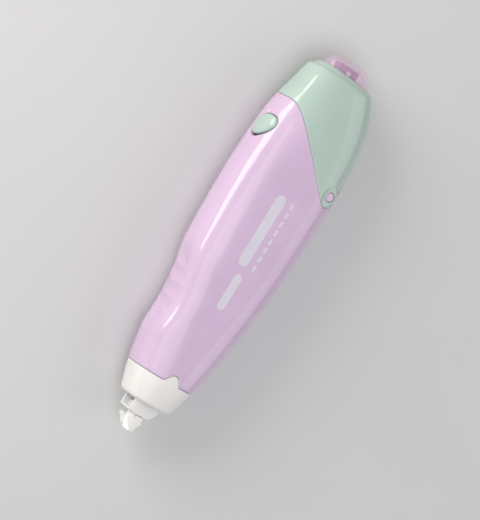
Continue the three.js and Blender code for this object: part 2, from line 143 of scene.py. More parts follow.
def grip_dip(x, z):
    """Depth of the finger recess below the plain section: a broad dish, and a ribbed hollow in it."""
    off = x - RECESS["x"]
    dish = ease(1 - (off / RECESS["half_length"]) ** 2 - (z / RECESS["half_width"]) ** 2)
    inside = 1 - (off / HOLLOW["half_length"]) ** 2 - (z / HOLLOW["half_width"]) ** 2
    hollow = ease(HOLLOW["rim"] * inside)
    along = (x - RIDGES["first"]) / RIDGES["pitch"]
    ridge = 0.0
    if -0.5 < along < RIDGES["count"] - 0.5:
        ridge = RIDGES["height"] * (0.5 + 0.5 * math.cos(2 * math.pi * along)) ** 1.5
    return dish * RECESS["depth"] + hollow * (HOLLOW["depth"] - ridge)


def end_rounding(x):
    """How much of the section is left towards the rear end, 1 to 0."""
    t = min(max((x - REAR_ROUND_FROM) / (SKIN_END - REAR_ROUND_FROM), 0.0), 1.0)
    return 1 - t ** 2.2


def front_rounding(x):
    t = min(max((NOSE_ROUND_FROM - x) / (NOSE_ROUND_FROM - NOSE_FRONT), 0.0), 1.0)
    return math.sqrt(max(0.0, 1 - t ** 2.2))


def pivot_land(x, y, z, inset):
    """The flank flattened to a shallow round land about the pivot, fading out with distance."""
    reach = math.hypot(x - PIVOT_X, y - PIVOT_Y)
    share = ease((LAND_OUT - reach) / (LAND_OUT - LAND_IN))
    plane = LAND_HEIGHT + LAND_SLOPE * (y - PIVOT_Y) - inset
    return math.copysign(abs(z) * (1 - share) + plane * share, z)


def surface(x, angle, inset=0.0, dip=True):
    """A point of the body's skin at station x and section angle (radians), inset along the section."""
    top, bottom = finger_edge(x), belly_edge(x)
    shrink = REAR_ROUND * (1 - end_rounding(x)) + NOSE_ROUND * (1 - front_rounding(x))
    a = (top - bottom) / 2 - inset - shrink
    b = half_thickness(x) - inset - shrink
    c, s = math.cos(angle), math.sin(angle)
    y = (top + bottom) / 2 + a * signed_power(c, 2 / POWER)
    z = soft_limit(b * signed_power(s, 2 / POWER), FLANK - inset)
    if dip and c > 0 and abs(x - RECESS["x"]) < RECESS["half_length"]:
        y -= grip_dip(x, z) * ease(y / RECESS["fade"])
    if c < 0 and math.hypot(x - PIVOT_X, y - PIVOT_Y) < LAND_OUT:
        z = pivot_land(x, y, z, inset)
    return x, y, z


def height_at(x, z, inset):
    """y of the finger side at (x, z)."""
    top, bottom = finger_edge(x), belly_edge(x)
    a, b = (top - bottom) / 2 - inset, half_thickness(x) - inset
    return (top + bottom) / 2 + a * (1 - min(abs(z) / b, 0.999) ** POWER) ** (1 / POWER)


# ---------- columns: section angles evenly spaced along the section ----------
def even_angles(count):
    fine = [2 * math.pi * i / 7200 for i in range(7201)]
    points = [surface(0, angle)[1:] for angle in fine]
    length = [0.0]
    for (y0, z0), (y1, z1) in zip(points, points[1:]):
        length.append(length[-1] + math.hypot(y1 - y0, z1 - z0))
    angles, i = [], 0
    for k in range(count):
        goal = length[-1] * k / count
        while length[i + 1] < goal:
            i += 1
        part = (goal - length[i]) / (length[i + 1] - length[i])
        angles.append(fine[i] + (fine[i + 1] - fine[i]) * part)
    return angles


def belly_angle():
    """The angle where the skin near the pivot passes the plane of the ear's inner face."""
    low, high = math.pi / 2, math.pi
    for _ in range(50):
        middle = (low + high) / 2
        if surface(PIVOT_X, middle)[2] > EAR_PLANE:
            low = middle
        else:
            high = middle
    return low


SECTION_STEPS = 224
BELLY = belly_angle()
ANGLES = sorted(even_angles(SECTION_STEPS))


def columns(low, high):
    """(angle, whether it is in the belly band) from low to high, doubled where the band starts."""
    edges = ((BELLY, (False, True)), (2 * math.pi - BELLY, (True, False)))
    picked = [(angle, BELLY < angle < 2 * math.pi - BELLY) for angle in ANGLES
              if low < angle < high and all(abs(angle - edge) > 0.004 for edge, _ in edges)]
    picked += [(edge, inside) for edge, order in edges for inside in order if low < edge < high]
    return sorted(picked, key=lambda column: column[0])


def in_cap(x, y):
    if math.hypot(x - PIVOT_X, y - PIVOT_Y) < EAR_RADIUS:
        return True
    if y < PIVOT_Y:
        return x > PIVOT_X and y > PIVOT_Y - EAR_RADIUS or x > MOUTH_X
    return x > cap_line(y)


def cap_seam(angle, belly):
    if belly:
        return MOUTH_X
    low, high = 15.0, 50.0
    for _ in range(40):
        middle = (low + high) / 2
        if in_cap(middle, surface(middle, angle)[1]):
            high = middle
        else:
            low = middle
    return high


def nose_seam(angle):
    y = surface(NOSE_SEAM, angle)[1]
    return NOSE_SEAM + (tongue_line(y) if abs(math.sin(angle)) > 0.5 else 0.0)


# ---------- mesh helpers ----------
def new_object(name, verts, faces, smooth=True, sharp_deg=40.0):
    mesh = bpy.data.meshes.new(name)
    mesh.from_pydata([(x * MM, y * MM, (z + MID) * MM) for x, y, z in verts], [], faces)
    mesh.validate()
    work = bmesh.new()
    work.from_mesh(mesh)
    bmesh.ops.remove_doubles(work, verts=work.verts, dist=1e-7)
    bmesh.ops.dissolve_degenerate(work, edges=work.edges, dist=1e-7)
    bmesh.ops.recalc_face_normals(work, faces=work.faces)
    work.to_mesh(mesh)
    work.free()
    made = bpy.data.objects.new(name, mesh)
    bpy.context.scene.collection.objects.link(made)
    if smooth:
        mesh.shade_smooth()
        mesh.set_sharp_from_angle(angle=math.radians(sharp_deg))
    return made


def grid_piece(name, rows, closed):
    """A skin whose rows are loops of points: rows[r][c]. Rows join into a loop, columns too if closed."""
    count = len(rows[0])
    verts = [p for row in rows for p in row]
    faces = []
    for r in range(len(rows)):
        below = (r + 1) % len(rows)
        for c in range(count if closed else count - 1):
            beside = (c + 1) % count
            faces.append((r * count + c, r * count + beside, below * count + beside, below * count + c))
    if not closed:
        half = len(rows) // 2
        for c in (0, count - 1):
            for r in range(half - 1):
                mate = len(rows) - 1 - r
                faces.append((r * count + c, (r + 1) * count + c, (mate - 1) * count + c, mate * count + c))
    return new_object(name, verts, faces)


ROLL = [(0.0, 0.34), (0.02, 0.2), (0.09, 0.07), (0.2, 0.015), (0.36, 0.0)]


def stations(low, high, step):
    count = max(1, round((high - low) / step))
    return [low + (high - low) * i / count for i in range(count + 1)]


# ---------- casing shells ----------
FIXED_FROM, FIXED_TO = -39.0, 18.0
FIXED = stations(FIXED_FROM, -36, 1.0)[:-1] + stations(-36, -7, 0.36)[:-1] + stations(-7, FIXED_TO, 1.25)


def casing_rows(x0, x1):
    """Stations from one seam to the other, straight across in the middle."""
    front = [x0 + 0.36 + (FIXED_FROM - x0 - 0.36) * i / 9 for i in range(1, 9)]
    rear = [FIXED_TO + (x1 - 0.36 - FIXED_TO) * i / 30 for i in range(1, 30)]
    out = [(x0 + dx, inset) for dx, inset in ROLL]
    out += [(x, 0.0) for x in front + FIXED + rear]
    out += [(x1 - dx, inset) for dx, inset in reversed(ROLL)]
    return out


def casing_shell(name, low, high):
    """Half of the lilac body, between the part lines at section angles low and high."""
    inner = columns(low, high)
    marks = [(low + PART_LINE, 0.04), (low + 3 * PART_LINE, 0.0)] + [(angle, 0.0) for angle, _ in inner]
    marks += [(high - 3 * PART_LINE, 0.0), (high - PART_LINE, 0.04)]
    bands = [inner[0][1]] * 2 + [belly for _, belly in inner] + [inner[-1][1]] * 2
    loops = []
    for (angle, groove), belly in zip(marks, bands):
        x0 = nose_seam(angle) + SEAM_GAP
        x1 = cap_seam(angle, belly) - SEAM_GAP - (0.8 if belly else 0.0)
        outer = casing_rows(x0, x1)
        column = [surface(x, angle, inset + groove) for x, inset in outer]
        column += [surface(x, angle, max(WALL, inset)) for x, inset in reversed(outer)]
        loops.append(column)
    rows = [list(row) for row in zip(*loops)]
    return grid_piece(name, rows, closed=False)


def cut(target, cutter):
    mod = target.modifiers.new("cut", "BOOLEAN")
    mod.operation = "DIFFERENCE"
    mod.solver = "EXACT"
    mod.object = cutter
    apply_modifiers(target)
    bpy.data.objects.remove(cutter)


def fuse(target, others):
    for other in others:
        mod = target.modifiers.new("fuse", "BOOLEAN")
        mod.operation = "UNION"
        mod.solver = "EXACT"
        mod.object = other
        apply_modifiers(target)
        bpy.data.objects.remove(other)
    return target


def apply_modifiers(target):
    bpy.context.view_layer.update()
    graph = bpy.context.evaluated_depsgraph_get()
    mesh = bpy.data.meshes.new_from_object(target.evaluated_get(graph))
    target.modifiers.clear()
    target.data = mesh


def extrusion(name, outline, low, high):
    """A prism of a flat (x, y) outline between two heights."""
    count = len(outline)
    verts = [(x, y, low) for x, y in outline] + [(x, y, high) for x, y in outline]
    faces = [tuple(range(count)), tuple(range(2 * count - 1, count - 1, -1))]
    faces += [(i, (i + 1) % count, count + (i + 1) % count, count + i) for i in range(count)]
    return new_object(name, verts, faces, smooth=False)


def box_solid(name, x0, x1, y0, y1, z0, z1):
    return extrusion(name, [(x0, y0), (x1, y0), (x1, y1), (x0, y1)], z0, z1)


def ring_stack(name, rows):
    """A solid skinned over rings of equal count, with a flat cap on the first and the last."""
    count = len(rows[0])
    faces = []
    for r in range(len(rows) - 1):
        for c in range(count):
            beside = (c + 1) % count
            faces.append((r * count + c, r * count + beside, (r + 1) * count + beside, (r + 1) * count + c))
    last = (len(rows) - 1) * count
    faces += [tuple(range(count)), tuple(range(last, last + count))]
    return new_object(name, [p for row in rows for p in row], faces)


def circle(cx, cy, radius, count=64):
    return [(cx + radius * math.cos(2 * math.pi * i / count), cy + radius * math.sin(2 * math.pi * i / count))
            for i in range(count)]


def bevel(target, width, segments=3, angle=35.0):
    mod = target.modifiers.new("bevel", "BEVEL")
    mod.width = width * MM
    mod.segments = segments
    mod.limit_method = "ANGLE"
    mod.angle_limit = math.radians(angle)
    mod.harden_normals = False
    apply_modifiers(target)
    target.data.shade_smooth()
    target.data.set_sharp_from_angle(angle=math.radians(50))


def closed_curve(points, count):
    """A smooth closed outline through the points."""
    n = len(points)
    out = []
    for k in range(count):
        t = k * n / count
        i = int(t)
        t -= i
        p = [Vector(points[(i + j - 1) % n]) for j in range(4)]
        out.append(0.5 * ((2 * p[1]) + (p[2] - p[0]) * t + (2 * p[0] - 5 * p[1] + 4 * p[2] - p[3]) * t * t
                          + (3 * p[1] - p[0] - 3 * p[2] + p[3]) * t * t * t))
    return [tuple(p) for p in out]


# ---------- latch button ----------
BUTTON_OUTLINE = [(30.4, 0.9), (31.2, 3.0), (32.9, 4.8), (35.0, 5.7), (36.9, 5.7), (38.0, 4.8),
                  (38.2, 3.0), (37.7, 0.6), (36.5, -1.6), (34.6, -2.7), (32.2, -2.2), (30.8, -0.8)]
BUTTON_CENTRE = (34.6, 1.6)
WINDOW_FROM, WINDOW_TO = 8.0, 24.0
FACET_POINT, FACET_NORMAL = (32.1, -1.0), (-0.9, 0.436)      # where the pad's front slopes down
FACET_SLOPE, FACET_SOFT = 0.32, 0.12
FACET_GAP = 0.22              # how far the pad stops short in front, per mm past the facet line
REAR_LIFT = 0.04              # the pad's rise per mm towards its rear edge
PAD_SHIFT = 0.1               # the pad sits this far behind its window's middle
OUTLINE_STEPS = 120
TONGUE_FROM = 31.5
TONGUE_SECTION = (10.9, 12.0, -2.0, 3.6)                     # y then z
LATCH_STEM = (33.0, 36.5, 11.9, 15.2, -1.0, 4.0)             # x, y, z
WINDOW_LIP = ((0.3, -0.45), (0.33, -0.28), (0.42, -0.12), (0.6, -0.02), (0.95, 0.08))  # growth, rise
BUTTON_RINGS = [(1.0, -1.7), (1.0, -0.35), (0.995, -0.12), (0.975, 0.06), (0.93, 0.18), (0.85, 0.27),
                (0.7, 0.34), (0.5, 0.38), (0.3, 0.395), (0.12, 0.4)]


def grown_outline(outline, centre, grow):
    out = []
    for x, z in outline:
        reach = math.hypot(x - centre[0], z - centre[1])
        out.append((x + grow * (x - centre[0]) / reach, z + grow * (z - centre[1]) / reach))
    return out


def past_facet(x, z):
    """Distance ahead of the line where the pad's front slopes down, rounded off at the line."""
    ahead = (x - FACET_POINT[0]) * FACET_NORMAL[0] + (z - FACET_POINT[1]) * FACET_NORMAL[1]
    return (math.sqrt(ahead * ahead + FACET_SOFT) + ahead) / 2


def pad_lean(x, z):
    """Height of the pad over a plain raised one: sunk along the front, lifted at the rear."""
    return REAR_LIFT * max(0.0, x - BUTTON_CENTRE[0]) - FACET_SLOPE * past_facet(x, z)


def make_button():
    outline = closed_curve(BUTTON_OUTLINE, OUTLINE_STEPS)
    rows = []
    for scale, rise in BUTTON_RINGS:
        ring = []
        for x, z in outline:
            px = BUTTON_CENTRE[0] + (x - BUTTON_CENTRE[0]) * scale
            pz = BUTTON_CENTRE[1] + (z - BUTTON_CENTRE[1]) * scale
            short = FACET_GAP * past_facet(px, pz)
            px += PAD_SHIFT - FACET_NORMAL[0] * short
            pz -= FACET_NORMAL[1] * short
            lean = pad_lean(px, pz) if rise > -1 else 0.0
            ring.append((px, height_at(px, pz, -rise) + lean, pz))
        rows.append(ring)
    button = ring_stack("latch_button_skin", rows)
    end_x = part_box("latch_button")[1][0] / MM
    tongue = box_solid("latch_tongue", TONGUE_FROM, end_x, *TONGUE_SECTION)
    bevel(tongue, 0.25)
    return fuse(button, [tongue, box_solid("latch_stem", *LATCH_STEM)])


# ---------- rear cap ----------
KNOCK_HALF, KNOCK_THICK = 8.2, 4.5
RIM_X, RIM_SLANT = 60.0, 0.055      # the knock opening's rim at mid-height, and its lean along Y
KNOCK_POWER = 0.75
KNOCK_CLEAR, BOSS_CLEAR = 0.22, 0.12
CAP_END = [56.9, 57.5, 57.9, 58.1, 58.3, 58.48, 58.62, 58.73, 58.81, 58.86, SKIN_END]
END_FACE = ((0.12, 0.24), (0.3, 0.5), (0.5, 0.72), (0.7, 0.88), (0.88, 0.98), (0.96, 1.0),
            (1.0, 0.95), (1.0, 0.7), (1.0, -0.2))      # share of the way in to the rim, share of its rise


def knock_ring(x, angle, y_half, z_half):
    """A point of the knock's rounded section, of the given half width and half thickness."""
    y, z = signed_power(math.cos(angle), KNOCK_POWER), signed_power(math.sin(angle), KNOCK_POWER)
    return x, y_half * y, z_half * z


def make_cap():
    cols = columns(-0.001, 2 * math.pi - 0.001)
    rear = [45.6 + i * 0.75 for i in range(1, 15)] + CAP_END
    loops = []
    for angle, belly in cols:
        x1 = cap_seam(angle, belly)
        middle = [x1 + 0.36 + (46.0 - x1 - 0.36) * i / 24 for i in range(1, 24)]
        outer = [(x1 + dx, inset) for dx, inset in ROLL] + [(x, 0.0) for x in middle + rear]
        column = [surface(x, angle, inset) for x, inset in outer]
        end = column[-1]
        for share, rise in END_FACE:
            rim = knock_ring(0, angle, KNOCK_HALF + KNOCK_CLEAR, KNOCK_THICK + KNOCK_CLEAR)
            rim_x = RIM_X + RIM_SLANT * rim[1]
            column.append((end[0] + (rim_x - end[0]) * rise, end[1] + (rim[1] - end[1]) * share,
                           end[2] + (rim[2] - end[2]) * share))
        inner = [57.4, 56, 54, 51, 48] + list(reversed(middle[::3])) + [x1 + 0.1, x1]
        for x in inner:
            px, py, pz = surface(x, angle, WALL)
            if math.hypot(px - PIVOT_X, py - PIVOT_Y) < 6.0 and abs(pz) > 3.0:
                pz = math.copysign(max(abs(pz), EAR_PLANE), pz)
                pz = math.copysign(min(abs(pz), max(abs(surface(x, angle, 0.1)[2]), EAR_PLANE - 0.3)), pz)
            column.append((px, py, pz))
        loops.append(column)
    rows = [list(row) for row in zip(*loops)]
    cap = grid_piece("rear_cap_skin", rows, closed=True)
    for side in (-1, 1):
        hole = extrusion("hole", circle(PIVOT_X, PIVOT_Y, BOSS_RADIUS + BOSS_CLEAR), 3.0 * side, 12.0 * side)
        cut(cap, hole)
    return cap


def make_boss(name, side):
    """The round boss that the cap's ear turns on, on its cheek plate."""
    rings = []
    profile = ((0.0, 0.0), (0.6, 0.0), (1.0, 0.02), (1.25, 0.07), (1.4, 0.17), (1.5, 0.36), (1.5, None))
    for radius, drop in profile:
        ring = []
        for i in range(48):
            angle = 2 * math.pi * i / 48
            x, y = PIVOT_X + radius * math.cos(angle), PIVOT_Y + radius * math.sin(angle)
            z = LAND_HEIGHT + LAND_SLOPE * (y - PIVOT_Y) + 0.08
            ring.append((x, y, side * (z - drop) if drop is not None else side * (EAR_PLANE - 1.0)))
        rings.append(ring)
    verts = [rings[0][0]] + [p for ring in rings[1:] for p in ring]
    faces = [(0, 1 + i, 1 + (i + 1) % 48) for i in range(48)]
    for r in range(len(rings) - 2):
        for i in range(48):
            j = (i + 1) % 48
            faces.append((1 + r * 48 + i, 1 + r * 48 + j, 1 + (r + 1) * 48 + j, 1 + (r + 1) * 48 + i))
    faces.append(tuple(1 + (len(rings) - 2) * 48 + i for i in range(48)))
    boss = new_object(name, verts, faces)
    arc = [(PIVOT_X + 5.7 * math.cos(math.radians(d)), PIVOT_Y + 5.7 * math.sin(math.radians(d)))
           for d in range(-30, 131, 8)]
    plate = extrusion(name + "_plate", [(20.5, -15.3), (29.5, -15.3)] + arc + [(20.5, -8.7)],
                      side * (EAR_PLANE - 1.5), side * (EAR_PLANE - 0.35))
    bevel(plate, 0.2, 2)
    return fuse(boss, [plate])


# ---------- nose cap ----------
HEAD_TOP, HEAD_BOTTOM, HEAD_HALF = 5.6, -4.0, 3.3
WINDOW_MARGIN = 0.45
NOSE_STEP = 0.12
SPIGOT_INSET = 1.75
FRONT_FACE = ((0.4, -55.2), (0.75, -55.2), (0.93, -55.18), (1.0, -55.05), (1.0, -54.6), (1.0, -53.4))
NOSE_INSIDE = [(-53.2, 1.6), (-50.0, 1.6), (-47.0, 1.6), (-46.4, 2.7), (-44.0, 2.7), (-42.45, 2.65),
               (-42.3, 2.5), (-42.3, 1.95), (-42.5, SPIGOT_INSET), (-42.9, SPIGOT_INSET)]


def window_ring(x, angle):
    """The rounded rectangular hole that the head slides through."""
    middle = (HEAD_TOP + HEAD_BOTTOM) / 2
    y_half = (HEAD_TOP - HEAD_BOTTOM) / 2 + WINDOW_MARGIN
    z_half = HEAD_HALF + WINDOW_MARGIN
    return (x, middle + y_half * signed_power(math.cos(angle), 0.32),
            z_half * signed_power(math.sin(angle), 0.32))


def make_nose():
    """The white cap: seam edge, outside, front face, window, inside, then the spigot in the body."""
    front = [-46.5, -47.5, -48.5, -49.5, -50.5, -51.5, -52.3, -53.0, -53.5, -53.9, -54.1, -54.3, -54.5,
             -54.68, -54.83, -54.95, -55.04, -55.1, -55.15, -55.18, -55.2]
    loops = []
    for angle in ANGLES:
        x0 = nose_seam(angle) - SEAM_GAP
        outer = [(x0 - dx, inset + NOSE_STEP) for dx, inset in ROLL]
        outer += [(x0 - 0.36 + (-46.4 - x0 + 0.36) * i / 4, NOSE_STEP) for i in range(1, 4)]
        outer += [(x, NOSE_STEP * max(0.0, 1 - (-46.4 - x) / 3)) for x in front]
        column = [surface(x, angle, inset) for x, inset in outer]
        end = column[-1]
        for share, x in FRONT_FACE:
            rim = window_ring(x, angle)
            column.append((x, end[1] + (rim[1] - end[1]) * share, end[2] + (rim[2] - end[2]) * share))
        column += [surface(x, angle, inset) for x, inset in NOSE_INSIDE]
        column.append(surface(x0, angle, SPIGOT_INSET))
        loops.append(column)
    rows = [list(row) for row in zip(*loops)]
    return grid_piece("nose_cap_skin", rows, closed=True)


# ---------- knock ----------
def dome(x, start, end, half):
    """Half width of a domed end at station x: full at start, nothing at end."""
    t = min(max((x - start) / (end - start), 0.0), 1.0)
    return half * (1 - t ** 2.5) ** (1 / 2.2)


def knock_dome(x, start, end, inset):
    """A section of the knock's domed end."""
    return [knock_ring(x, angle, max(dome(x, start, end, KNOCK_HALF - inset), 0.03),
                       max(dome(x, start, end, KNOCK_THICK - inset), 0.02)) for angle in ANGLES]


def make_knock():
    low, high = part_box("knock_button")
    x0, x1 = low[0] / MM, high[0] / MM
    flange = [(x0, -0.4), (x0 + 0.1, -0.5), (x0 + 0.5, -0.5), (x0 + 0.6, -0.4), (x0 + 0.65, 0.0)]
    rows = [[knock_ring(x, angle, KNOCK_HALF - inset, KNOCK_THICK - inset) for angle in ANGLES]
            for x, inset in flange + [(x, 0.0) for x in stations(x0 + 2, x1 - 4.2, 0.8)]]
    spread = [1 - (1 - k / 22) ** 2.2 for k in range(23)]
    rows += [knock_dome(x1 - 4.0 + 4.0 * k, x1 - 4.0, x1, 0.0) for k in spread]
    rows += [knock_dome(x1 - 4.6 + 3.5 * k, x1 - 4.6, x1 - 1.1, 1.0) for k in reversed(spread)]
    rows += [[knock_ring(x, angle, KNOCK_HALF - 1.0, KNOCK_THICK - 1.0) for angle in ANGLES]
             for x in (x1 - 8, x0)]
    return grid_piece("knock_button_skin", rows, closed=True)


def make_plunger():
    low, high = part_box("knock_plunger")
    x0, x1 = low[0] / MM, high[0] / MM
    body = box_solid("knock_plunger_skin", x0, x1, -3.1, 2.1, -1.6, 1.6)
    cut(body, box_solid("slot", 54.0, x1 - 1.1, -2.1, 1.0, -4, 4))
    block = box_solid("block", 52.0, x1, 2.7, 4.4, -2.0, 2.0)
    bridge = box_solid("bridge", 50.0, 53.0, -3.1, 4.4, -1.6, 1.6)
    rib = box_solid("rib", 53.0, x1 - 2.2, 3.2, 3.9, -2.5, 2.5)
    fuse(body, [bridge, block, rib])
    bevel(body, 0.3, 3)
    return body


# ---------- tape head ----------
def make_holder():
    low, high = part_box("head_holder")
    front, back = low[0] / MM, high[0] / MM
    curve = [(-55.2, HEAD_BOTTOM), (-56.5, -3.85), (-57.6, -3.45), (-58.5, -2.85), (-59.15, -2.1),
             (front, -1.2)]
    outline = [(back, HEAD_BOTTOM)] + curve + [(front, 3.2), (front + 0.35, 3.6), (front + 0.35, HEAD_TOP),
                                               (back, HEAD_TOP)]
    holder = extrusion("head_holder_skin", outline, -HEAD_HALF, HEAD_HALF)
    cut(holder, box_solid("channel", -56.5, -35, HEAD_BOTTOM + 0.8, HEAD_TOP - 0.8, -2.75, 2.75))
    cut(holder, box_solid("mouth", -61, -56, -0.75, 2.75, -2.5, 2.5))
    cut(holder, box_solid("well", -58.5, -52, 3.4, 8, -2.75, 2.75))
    fuse(holder, [box_solid("foot", -40, back, 1.0, 3.6, -4.1, -2.9)])
    bevel(holder, 0.22, 3)
    return holder


def make_blade():
    """The edge that presses the tape, with a guide fin each side and a collar in front of the holder."""
    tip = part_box("applicator_blade")[0][0] / MM
    top = [(tip, 0.82), (tip + 0.04, 1.1), (-63.4, 1.6), (-61.6, 2.1), (-60.8, 2.1), (-60.2, 1.95),
           (-50, 1.95)]
    under = [(-50, 0.05), (-60.2, 0.05), (-60.8, -0.15), (-61.6, -0.15), (-63.4, 0.42), (tip + 0.04, 0.66)]
    body = extrusion("applicator_blade_skin", top + under, -2.3, 2.3)
    wedge = extrusion("wedge", top[:5] + [(-60.4, 2.0), (-60.4, -0.1)] + under[2:], -3.0, 3.0)
    collar = extrusion("collar", [(-61.2, -0.7), (-61.2, 1.6), (-59.6, 1.6), (-59.6, -0.7)], -3.0, 3.0)
    fin = [(tip + 0.08, 0.75), (tip + 0.12, 1.15), (-64.3, 1.7), (-63.9, 2.2), (-63.1, 2.95), (-62.1, 3.65),
           (-61.5, 4.25), (-61.1, 4.35), (-60.85, 4.0), (-60.7, 2.8), (-60.6, 1.5), (-60.8, 0.2),
           (-61.05, -0.35), (-61.4, -0.92), (-61.9, -0.6), (-62.5, -0.12), (-63.3, 0.2), (-64.4, 0.42)]
    fins = [extrusion("fin", fin, side * 2.85, side * 3.4) for side in (-1, 1)]
    fuse(body, [wedge, collar] + fins)
    bevel(body, 0.12, 3, 28)
    return body


def rounded_path(points, radius):
    """The points joined by straight runs, with each inner corner turned in a short curve."""
    path = [Vector(points[0])]
    for before, corner, after in zip(points, points[1:], points[2:]):
        corner = Vector(corner)
        back, ahead = Vector(before) - corner, Vector(after) - corner
        start = corner + back.normalized() * min(radius, back.length / 2)
        end = corner + ahead.normalized() * min(radius, ahead.length / 2)
        path += [start.lerp(corner, k / 6).lerp(corner.lerp(end, k / 6), k / 6) for k in range(7)]
    return path + [Vector(points[-1])]


def ribbon(name, points, half, thick):
    """A thin strip along (x, y) points, half its width each side of the mid-plane."""
    line = rounded_path(points, 1.6)
    rows = []
    for i, p in enumerate(line):
        ahead = (line[min(i + 1, len(line) - 1)] - line[max(i - 1, 0)]).normalized()
        side = Vector((-ahead.y, ahead.x)) * thick / 2
        rows.append([(p.x + side.x, p.y + side.y, -half), (p.x + side.x, p.y + side.y, half),
                     (p.x - side.x, p.y - side.y, half), (p.x - side.x, p.y - side.y, -half)])
    verts = [p for row in rows for p in row]
    faces = []
    for r in range(len(rows) - 1):
        for c in range(4):
            d = (c + 1) % 4
            faces.append((r * 4 + c, r * 4 + d, (r + 1) * 4 + d, (r + 1) * 4 + c))
    faces += [(0, 1, 2, 3), tuple((len(rows) - 1) * 4 + c for c in (3, 2, 1, 0))]
    return new_object(name, verts, faces)


# ---------- printed marks: plain bars, no lettering ----------
PRINT_TOP = 9.497


def bar(name, x0, x1, y0, y1):
    """A flat bar of ink with round ends."""
    radius = (y1 - y0) / 2
    middle = (y0 + y1) / 2
    outline = []
    for centre, start in ((x1 - radius, -90), (x0 + radius, 90)):
        outline += [(centre + radius * math.cos(math.radians(start + k * 15)),
                     middle + radius * math.sin(math.radians(start + k * 15))) for k in range(13)]
    return extrusion(name, outline, FLANK - 0.2, PRINT_TOP)


def make_print():
    """Printed trim: a short bar, a broad bar and a dashed line, standing for generic decoration."""
    marks = [bar("print_short", -19.6, -7.4, -0.9, 1.9), bar("print_broad", -5.0, 19.4, 0.1, 3.7)]
    marks += [bar(f"print_dash_{i}", -4.6 + i * 3.05, -2.5 + i * 3.05, -3.0, -2.0) for i in range(8)]
    return marks


# ---------- materials ----------
def linear(rgb):
    return [((c / 255 + 0.055) / 1.055) ** 2.4 if c > 10 else c / 255 / 12.92 for c in rgb] + [1.0]


class Nodes:
    """Short calls for building one material's node tree."""

    def __init__(self, name):
        self.material = bpy.data.materials.new(name)
        self.material.use_nodes = True
        self.tree = self.material.node_tree
        self.shader = self.tree.nodes["Principled BSDF"]
        self.place = self.add("ShaderNodeTexCoord").outputs["Object"]

    def add(self, kind, **settings):
        node = self.tree.nodes.new(kind)
        for key, value in settings.items():
            setattr(node, key, value)
        return node

    def link(self, output, target):
        self.tree.links.new(output, target)

    def noise(self, scale, detail=3.0, stretch=(1, 1, 1)):
        mapping = self.add("ShaderNodeMapping")
        mapping.inputs["Scale"].default_value = stretch
        self.link(self.place, mapping.inputs["Vector"])
        noise = self.add("ShaderNodeTexNoise")
        noise.inputs["Scale"].default_value = scale
        noise.inputs["Detail"].default_value = detail
        self.link(mapping.outputs["Vector"], noise.inputs["Vector"])
        return noise.outputs["Fac"]

    def span(self, value, low, high, to_low, to_high):
        node = self.add("ShaderNodeMapRange")
        for key, number in zip(("From Min", "From Max", "To Min", "To Max"), (low, high, to_low, to_high)):
            node.inputs[key].default_value = number
        self.link(value, node.inputs["Value"])
        return node.outputs["Result"]

    def mix(self, factor, a, b):
        """Two colours mixed; either may be an output or a plain colour."""
        node = self.add("ShaderNodeMix", data_type="RGBA")
        self.link(factor, node.inputs["Factor"])
        for key, colour in (("A", a), ("B", b)):
            socket = [s for s in node.inputs if s.name == key and s.type == "RGBA"][0]
            if isinstance(colour, list):
                socket.default_value = colour
            else:
                self.link(colour, socket)
        return [s for s in node.outputs if s.type == "RGBA"][0]

    def join(self, operation, a, b):
        node = self.add("ShaderNodeMath", operation=operation)
        for socket, value in zip(node.inputs, (a, b)):
            if isinstance(value, (int, float)):
                socket.default_value = value
            else:
                self.link(value, socket)
        return node.outputs["Value"]

    def bump(self, height, distance, strength=1.0):
        node = self.add("ShaderNodeBump")
        node.inputs["Distance"].default_value = distance
        node.inputs["Strength"].default_value = strength
        self.link(height, node.inputs["Height"])
        self.link(node.outputs["Normal"], self.shader.inputs["Normal"])

    def set(self, **numbers):
        for key, value in numbers.items():
            self.shader.inputs[key.replace("_", " ")].default_value = value


def shade(colour, factor):
    return [min(1.0, c * factor) for c in colour[:3]] + [1.0]


def moulded(name, rgb, rough, wear=0.25, sheen_spot=0.03, softness=0.08, peel=0.000006):
    """Moulded plastic: faint flow clouding, fine rubbed streaks, orange peel and paler worn edges."""
    n = Nodes(name)
    base = linear(rgb)
    cloud = n.span(n.noise(55, 2.0), 0.35, 0.65, 0.0, 1.0)
    tint = n.mix(cloud, shade(base, 0.965), shade(base, 1.02))
    edge = n.span(n.add("ShaderNodeNewGeometry").outputs["Pointiness"], 0.515, 0.56, 0.0, wear)
    rubbed = n.join("MULTIPLY", edge, n.span(n.noise(900, 4.0), 0.3, 0.6, 0.4, 1.0))
    n.link(n.mix(rubbed, tint, shade(base, 1.18)), n.shader.inputs["Base Color"])
    streak = n.noise(260, 5.0, (0.25, 1.6, 1.6))
    n.link(n.span(streak, 0.3, 0.7, rough - sheen_spot, rough + sheen_spot), n.shader.inputs["Roughness"])
    n.bump(n.join("ADD", n.noise(420, 2.0), n.join("MULTIPLY", n.noise(3800, 2.0), 0.25)), peel)
    n.set(Subsurface_Weight=softness, Subsurface_Radius=(0.9, 0.8, 0.85), Subsurface_Scale=0.0015, IOR=1.5)
    return n.material


def clear_pink(name):
    """Tinted clear plastic with faint flow lines."""
    n = Nodes(name)
    flow = n.span(n.noise(70, 2.0), 0.35, 0.65, 0.0, 1.0)
    tint = n.mix(flow, linear((243, 208, 236)), linear((247, 217, 241)))
    n.link(tint, n.shader.inputs["Base Color"])
    n.link(n.span(n.noise(500, 4.0, (0.3, 1, 1)), 0.3, 0.7, 0.05, 0.12), n.shader.inputs["Roughness"])
    n.bump(n.noise(240, 2.0), 0.00001)
    n.set(Transmission_Weight=0.0, IOR=1.45, Alpha=0.25)
    return n.material


